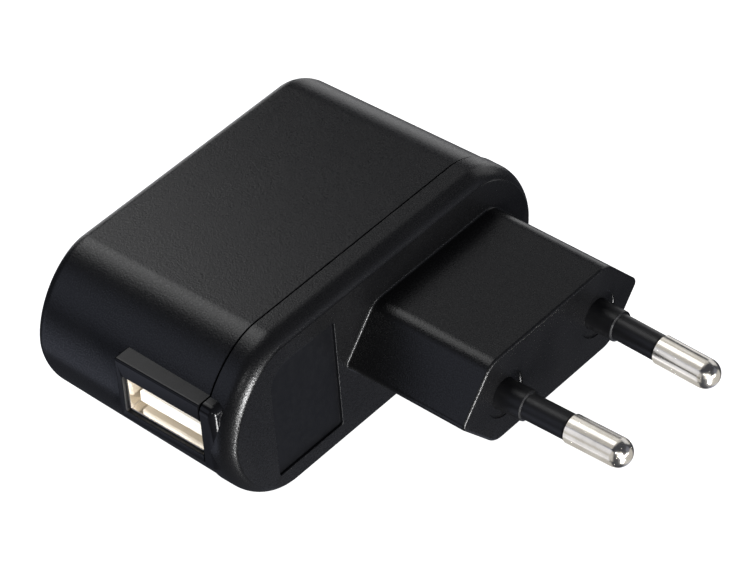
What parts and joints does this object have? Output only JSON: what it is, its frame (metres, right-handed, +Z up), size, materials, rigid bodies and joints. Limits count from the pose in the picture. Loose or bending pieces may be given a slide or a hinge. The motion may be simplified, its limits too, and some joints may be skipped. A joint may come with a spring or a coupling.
{
  "type": "usb wall charger",
  "caption": "Small wall charger whose flat two-pin plug stands off-centre on its front, with a USB receptacle through one rounded end.",
  "frame": {"origin": "centre of the bounding box in X and Y, on the broad side it rests on", "axes": "+Z up through the body's thickness, -Y the way the pins point into the wall, -X the way the port faces"},
  "size_m": [0.0598, 0.0737, 0.0256],
  "materials": {
    "black_cover": "fine spark texture",
    "black_sleeve": "smooth",
    "nickel_plate": "nickel plated, satin",
    "plated_steel": "nickel plated",
    "white_insulator": "smooth moulded",
    "gold_plate": "gold flash",
    "tinned_copper": "tinned",
    "board_laminate": "bare laminate",
    "copper_wire": "enamelled",
    "insulated_wire": "insulation over stranded wire",
    "ferrite": "ground ferrite",
    "bobbin_resin": "moulded",
    "winding_tape": "polyester tape",
    "aluminium_can": "drawn",
    "capacitor_sleeve": "shrunk film",
    "chip_resin": "moulded",
    "disc_coating": "dipped",
    "resistor_coating": "painted",
    "inductor_coating": "dipped",
    "ceramic_body": "fired"
  },
  "bodies": {
    "charger": {"bulk_capacitor_1": "aluminium_can", "bulk_capacitor_1_sleeve": "capacitor_sleeve", "bulk_capacitor_2": "aluminium_can", "bulk_capacitor_2_sleeve": "capacitor_sleeve", "circuit_board": "board_laminate", "controller_chip": "chip_resin", "feedback_resistor": "chip_resin", "front_cover": "black_cover", "fusible_resistor": "resistor_coating", "input_inductor": "inductor_coating", "output_capacitor": "aluminium_can", "output_capacitor_sleeve": "capacitor_sleeve", "output_diode": "chip_resin", "pin_left": "nickel_plate", "pin_right": "nickel_plate", "pin_sleeve_left": "black_sleeve", "pin_sleeve_right": "black_sleeve", "pin_wire_left": "insulated_wire", "pin_wire_right": "insulated_wire", "rear_cover": "black_cover", "rectifier_diode_1": "chip_resin", "rectifier_diode_2": "chip_resin", "rectifier_diode_3": "chip_resin", "rectifier_diode_4": "chip_resin", "safety_capacitor": "disc_coating", "snubber_capacitor": "ceramic_body", "snubber_diode": "chip_resin", "snubber_resistor": "chip_resin", "supply_capacitor": "aluminium_can", "supply_capacitor_sleeve": "capacitor_sleeve", "transformer_bobbin": "bobbin_resin", "transformer_core_lower": "ferrite", "transformer_core_upper": "ferrite", "transformer_pin_1": "tinned_copper", "transformer_pin_2": "tinned_copper", "transformer_pin_3": "tinned_copper", "transformer_pin_4": "tinned_copper", "transformer_pin_5": "tinned_copper", "transformer_pin_6": "tinned_copper", "transformer_primary": "copper_wire", "transformer_secondary": "copper_wire", "transformer_tape": "winding_tape", "usb_contact_tail_1": "tinned_copper", "usb_contact_tail_2": "tinned_copper", "usb_contact_tail_3": "tinned_copper", "usb_contact_tail_4": "tinned_copper", "usb_insulator": "white_insulator", "usb_shell": "plated_steel"},
    "contact_1": {"usb_contact_1": "gold_plate"},
    "shell_spring_1": {"usb_shell_spring_1": "plated_steel"},
    "contact_2": {"usb_contact_2": "gold_plate"},
    "shell_spring_2": {"usb_shell_spring_2": "plated_steel"},
    "contact_3": {"usb_contact_3": "gold_plate"},
    "shell_spring_3": {"usb_shell_spring_3": "plated_steel"},
    "contact_4": {"usb_contact_4": "gold_plate"},
    "shell_spring_4": {"usb_shell_spring_4": "plated_steel"}
  },
  "joints": [
    {"name": "contact_1_flex", "type": "hinge", "parent": "charger", "child": "contact_1", "pos_m": [-0.01965, 0.0097, 0.01363], "axis": [0, -1, 0], "range_deg": [0, 4.2], "stiffness_Nm_per_rad": 0.05},
    {"name": "contact_2_flex", "type": "hinge", "parent": "charger", "child": "contact_2", "pos_m": [-0.01965, 0.0122, 0.01363], "axis": [0, -1, 0], "range_deg": [0, 4.2], "stiffness_Nm_per_rad": 0.05},
    {"name": "contact_3_flex", "type": "hinge", "parent": "charger", "child": "contact_3", "pos_m": [-0.01965, 0.0142, 0.01363], "axis": [0, -1, 0], "range_deg": [0, 4.2], "stiffness_Nm_per_rad": 0.05},
    {"name": "contact_4_flex", "type": "hinge", "parent": "charger", "child": "contact_4", "pos_m": [-0.01965, 0.0167, 0.01363], "axis": [0, -1, 0], "range_deg": [0, 4.2], "stiffness_Nm_per_rad": 0.05},
    {"name": "shell_spring_1_flex", "type": "hinge", "parent": "charger", "child": "shell_spring_1", "pos_m": [-0.0203, 0.0101, 0.01686], "axis": [0, 1, 0], "range_deg": [0, 3], "stiffness_Nm_per_rad": 0.05},
    {"name": "shell_spring_2_flex", "type": "hinge", "parent": "charger", "child": "shell_spring_2", "pos_m": [-0.0203, 0.0163, 0.01686], "axis": [0, 1, 0], "range_deg": [0, 3], "stiffness_Nm_per_rad": 0.05},
    {"name": "shell_spring_3_flex", "type": "hinge", "parent": "charger", "child": "shell_spring_3", "pos_m": [-0.0203, 0.0101, 0.01144], "axis": [0, -1, 0], "range_deg": [0, 3], "stiffness_Nm_per_rad": 0.05},
    {"name": "shell_spring_4_flex", "type": "hinge", "parent": "charger", "child": "shell_spring_4", "pos_m": [-0.0203, 0.0163, 0.01144], "axis": [0, -1, 0], "range_deg": [0, 3], "stiffness_Nm_per_rad": 0.05}
  ]
}
